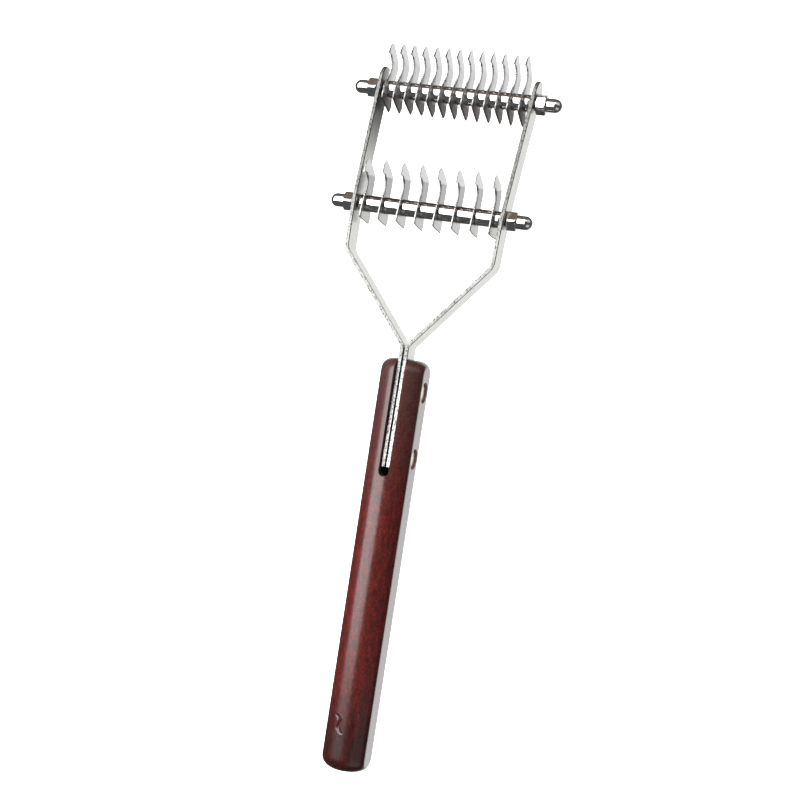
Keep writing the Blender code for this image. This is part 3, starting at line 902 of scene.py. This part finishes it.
def blade_rings():
    """The blade's rim as rings of (x, along, out) points, from one flat side round the edge to the other."""
    points, notches = blade_outline()
    ways = inward_ways(points)
    half = BLADE_THICKNESS / 2
    rings = []
    for i in range(BLADE_EDGE_STEPS + 1):
        angle = math.pi / 2 * i / BLADE_EDGE_STEPS
        x = half - BLADE_EDGE * (1 - math.cos(angle))
        ring = []
        for point, way, notch in zip(points, ways, notches):
            depth = BLADE_EDGE * (1 - math.sin(angle))
            if notch:
                depth += SERRATION_DEPTH * math.sin(angle)
            moved = point + way * depth
            ring.append((x, moved.x, moved.y))
        rings.append(ring)
    other_side = [[(-x, along, out) for x, along, out in ring] for ring in reversed(rings)]
    return rings + other_side


def hole_ring(x):
    """The rod's hole where it comes out of a flat side."""
    radius = BORE_RADIUS / MM
    turns = [2 * math.pi * i / BLADE_HOLE_STEPS for i in range(BLADE_HOLE_STEPS)]
    return [(x, radius * math.cos(turn), radius * math.sin(turn)) for turn in turns]


def fill_between(shape, outer, inner):
    """A flat side, from its outer loop in to the hole."""
    edges = []
    for loop in (outer, inner):
        edges += [shape.edges.get((loop[i - 1], loop[i])) for i in range(len(loop))]
    bmesh.ops.triangle_fill(shape, edges=edges, use_beauty=True)


def past_grind(point):
    """How far a point is beyond the line where the nose's grinding starts, in millimetres."""
    return point.y - NOSE_GRIND_START + NOSE_GRIND_SLANT * point.z


def blade_mesh(materials):
    """One blade about its rod: X is its thickness, Y runs along it and Z points to the hooked side."""
    half = BLADE_THICKNESS / 2
    shape = bmesh.new()
    rings = [[shape.verts.new(point) for point in ring] for ring in blade_rings()]
    for first, second in zip(rings, rings[1:]):
        bridge(shape, first, second)
    holes = [[shape.verts.new(point) for point in hole_ring(x)] for x in (half, -half)]
    bridge(shape, holes[0], holes[1])
    fill_between(shape, rings[0], holes[0])
    fill_between(shape, rings[-1], holes[1])
    bmesh.ops.bisect_plane(
        shape,
        geom=shape.verts[:] + shape.edges[:] + shape.faces[:],
        plane_co=(0, NOSE_GRIND_START, 0),
        plane_no=(0, 1, NOSE_GRIND_SLANT),
    )
    for vert in shape.verts:
        past = past_grind(vert.co)
        if past > 0:
            vert.co.x *= 1 - NOSE_GRIND_TAPER * past / half
    bmesh.ops.recalc_face_normals(shape, faces=shape.faces)
    for face in shape.faces:
        if PAINTED_DARK_BURR_LEAN[0] < face.normal.x < PAINTED_DARK_BURR_LEAN[1]:
            face.material_index = 2
        elif past_grind(face.calc_center_median()) > 0:
            face.material_index = 1
    bmesh.ops.scale(shape, vec=(MM, MM, MM), verts=shape.verts)
    mesh = mesh_from(shape, "blade")
    for material in materials:
        mesh.materials.append(material)
    return mesh


def row_rod(node):
    return node.split("_")[0] + "_rod"


def blade_turn(node):
    """How far the CAD blade is turned about its rod: the way from the rod to the nose's tip."""
    tip = Vector(BLADE_OUTLINE[0][:2])
    low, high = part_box(row_rod(node))
    axis_y = (low.y + high.y) / 2
    axis_z = (low.z + high.z) / 2
    points = [(v.co.y - axis_y, v.co.z - axis_z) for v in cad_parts[node].data.vertices]
    y, z = max(points, key=lambda p: math.hypot(*p))
    return math.atan2(z, y) - math.atan2(tip.y, tip.x)


def build_blade(node, body, shared):
    rod = node_middle(row_rod(node))
    x = node_middle(node).x
    mesh = shared.copy()
    place = Matrix.Translation((x, rod.y, rod.z)) @ Matrix.Rotation(blade_turn(node), 4, "X")
    mesh.transform(place)
    add_piece(node + "_ground", mesh, None, body, node, BLADE_HARD_EDGE)


def build_rows(materials):
    for row in ("fine", "coarse"):
        body = row + "_row"
        shared = blade_mesh((materials[row + "_blade"], materials["ground"], materials["painted_dark_burr"]))
        for node in sorted(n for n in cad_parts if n.startswith(row)):
            if "_blade_" in node:
                build_blade(node, body, shared)
            elif "_spacer_" in node:
                build_spacer(node, body, materials["chrome"])
        build_nut(row + "_nut_left", body, -1, materials["chrome"])
        build_nut(row + "_nut_right", body, 1, materials["chrome"])
        build_rod(row + "_rod", body, materials["rod"])


# --------------------------------------------------------------------------------------------------
# Floor, light and camera


def floor_material():
    """White paper on a lit table. Its light leaves it steeply, so low reflections of it are dark.

    The camera sees it as plain white from everywhere.
    """
    s = Shader("paper", Roughness=0.9, Specular_IOR_Level=0.1, Emission_Color=(1.0, 1.0, 1.0, 1.0))
    camera = s.node("ShaderNodeLightPath").outputs["Is Camera Ray"]
    weight = s.node("ShaderNodeLayerWeight")
    weight.inputs["Blend"].default_value = 0.5
    steep = s.node("ShaderNodeMapRange")
    s.link(weight.outputs["Facing"], steep.inputs["Value"])
    steep.inputs["From Min"].default_value = FLOOR_STEEP[1]
    steep.inputs["From Max"].default_value = FLOOR_STEEP[0]
    steep = steep.outputs["Result"]
    s.set("Base Color", s.mix(camera, FLOOR_LOW_COLOUR, FLOOR_COLOUR))
    glow = s.math("MULTIPLY", camera, FLOOR_CAMERA_GLOW)
    s.set("Emission Strength", s.math("ADD", glow, s.math("MULTIPLY", steep, FLOOR_STEEP_GLOW)))
    return s.material


def build_floor():
    shape = bmesh.new()
    bmesh.ops.create_grid(shape, x_segments=1, y_segments=1, size=FLOOR_HALF_SIZE)
    floor = add_object("floor", mesh_from(shape, "floor"))
    floor.location = (0.0, 0.0, FLOOR_Z)
    floor.data.materials.append(floor_material())


def softbox(name, direction, size, brightness, slide):
    """A soft light whose face looks along -direction, size (across, along Y), moved by slide along Y."""
    back = Vector(direction).normalized()
    along = (Vector((0.0, 1.0, 0.0)) - back * back.y).normalized()
    across = along.cross(back)
    data = bpy.data.lights.new(name, "AREA")
    data.shape = "RECTANGLE"
    data.size = size[0]
    data.size_y = size[1]
    data.energy = math.pi * size[0] * size[1] * brightness
    light = add_object(name, data)
    place = back * SOFTBOX_DISTANCE + along * slide
    turn = Matrix((across, along, back)).transposed().to_4x4()
    light.matrix_world = Matrix.Translation(place) @ turn


def build_world():
    """A dim room, cool behind the grip and warm behind the head, with a plain backdrop for the camera."""
    world = bpy.data.worlds.new("studio")
    world.use_nodes = True
    nodes = world.node_tree.nodes
    links = world.node_tree.links
    parts = nodes.new("ShaderNodeSeparateXYZ")
    links.new(nodes.new("ShaderNodeTexCoord").outputs["Generated"], parts.inputs["Vector"])
    room = nodes.new("ShaderNodeMapRange")
    links.new(parts.outputs["Y"], room.inputs["Value"])
    room.inputs["From Min"].default_value = ROOM_BLEND[0]
    room.inputs["From Max"].default_value = ROOM_BLEND[1]
    blend = nodes.new("ShaderNodeValToRGB")
    links.new(room.outputs["Result"], blend.inputs["Fac"])
    blend.color_ramp.elements[0].color = (*ROOM_BEHIND_GRIP, 1.0)
    blend.color_ramp.elements[1].color = (*ROOM_BEHIND_HEAD, 1.0)
    backdrop = nodes.new("ShaderNodeMixRGB")
    links.new(nodes.new("ShaderNodeLightPath").outputs["Is Camera Ray"], backdrop.inputs["Fac"])
    links.new(blend.outputs["Color"], backdrop.inputs["Color1"])
    backdrop.inputs["Color2"].default_value = (*BACKDROP_COLOUR, 1.0)
    links.new(backdrop.outputs["Color"], nodes["Background"].inputs["Color"])
    bpy.context.scene.world = world


def build_camera():
    data = bpy.data.cameras.new("camera")
    data.lens = CAMERA_LENS
    data.sensor_width = SENSOR_WIDTH
    data.clip_start = CAMERA_CLIP[0]
    data.clip_end = CAMERA_CLIP[1]
    camera = add_object("camera", data)
    back = CAMERA_RIGHT.cross(CAMERA_UP)
    turn = Matrix((CAMERA_RIGHT, CAMERA_UP, back)).transposed().to_4x4()
    camera.matrix_world = Matrix.Translation(CAMERA_PLACE) @ turn
    bpy.context.scene.camera = camera
    bpy.context.scene.view_settings.view_transform = "Standard"


def make_finishes():
    """Every finish by name. Where one changes along the rake, its place is worked out from the frame."""
    grip_end, head_end = (corner.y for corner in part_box("handle"))
    fine_y = node_middle("fine_rod").y
    coarse_y = node_middle("coarse_rod").y
    # Painted shade on the left strap, darkening towards the fine rod from below.
    left_strap_painted_shade = (fine_y - 25 * MM, fine_y - 6 * MM)
    past_the_arms = (fine_y + 30 * MM, fine_y + 40 * MM)
    dull_edge = (coarse_y - 8 * MM, coarse_y + 6 * MM)
    # Painted light on the strap edges inside the slot.
    slot_edge_painted_light = (head_end, head_end - 4 * MM)
    fine_tail = (fine_y - 1.5 * MM, fine_y - 3.0 * MM)
    coarse_tail = (coarse_y - 1.0 * MM, coarse_y - 3.0 * MM)
    return {
        "wood": wood_material(node_middle("handle").x, grip_end),
        "slot_wood": bare_wood_material("slot_wood", (0.035, 0.028, 0.024), (0.11, 0.075, 0.06)),
        # The recesses' tones are lighter than the slot's: painted light on walls that sit in shade.
        "recess_wood_painted_light": bare_wood_material("recess_wood_painted_light", (0.34, 0.20, 0.17), (0.60, 0.42, 0.38)),
        "arm_left": strap_material("left_strap", left_strap_painted_shade),
        "arm_right": strap_material("right_strap", past_the_arms),
        "strap_edge": strap_edge_material(dull_edge, slot_edge_painted_light),
        # Painted shade on the fine row's tails, painted light on the coarse row's tails.
        "fine_blade": blade_material("fine_blade", 0.62, fine_tail, (0.38, 0.34, 0.33), 0.58),
        "coarse_blade": blade_material("coarse_blade", 0.40, coarse_tail, (1.35, 1.37, 1.31), 0.32),
        "ground": ground_material(),
        "painted_dark_burr": burr_material_painted_dark(),
        "chrome": chrome_material(),
        "rod": rod_material(),
        "rivet": rivet_material(),
    }


build_camera()
build_world()
for light_name, settings in SOFTBOXES.items():
    softbox(light_name, *settings)
build_floor()

finishes = make_finishes()
build_handle(finishes["wood"], finishes["slot_wood"], finishes["recess_wood_painted_light"])
for rivet in RIVETS:
    build_rivet(rivet, finishes["rivet"])
for arm in ("arm_left", "arm_right"):
    build_arm(arm, finishes[arm], finishes["strap_edge"], finishes["painted_dark_burr"])
build_rows(finishes)
